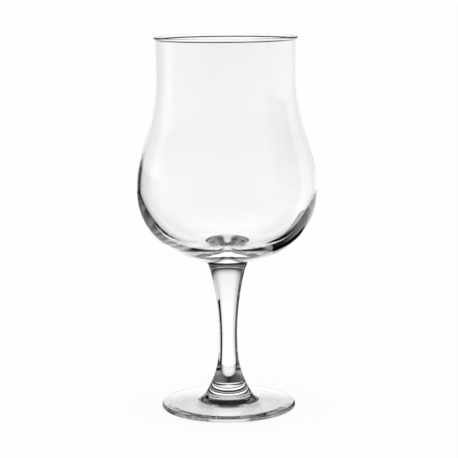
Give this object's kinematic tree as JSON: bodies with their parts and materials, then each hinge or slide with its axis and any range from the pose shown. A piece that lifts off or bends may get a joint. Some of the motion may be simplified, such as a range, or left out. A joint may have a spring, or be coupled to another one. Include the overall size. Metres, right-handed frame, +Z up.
{
  "type": "balloon glass",
  "caption": "Clear stemmed balloon glass: tulip bowl with a beaded rim, stem flared at both ends and a round pressed foot, for beer, wine or water.",
  "frame": {"origin": "centre of the ring that the foot rests on", "axes": "+Z up along the glass's axis of revolution, from the foot to the rim"},
  "size_m": [0.0934, 0.0934, 0.194],
  "materials": {
    "foot_glass": "clear pressed soda-lime glass, polished",
    "stem_glass": "clear pressed soda-lime glass, polished",
    "bowl_glass": "clear blown soda-lime glass, fire-polished"
  },
  "bodies": {
    "root": {"foot": "foot_glass", "stem": "stem_glass", "bowl": "bowl_glass"}
  },
  "joints": []
}
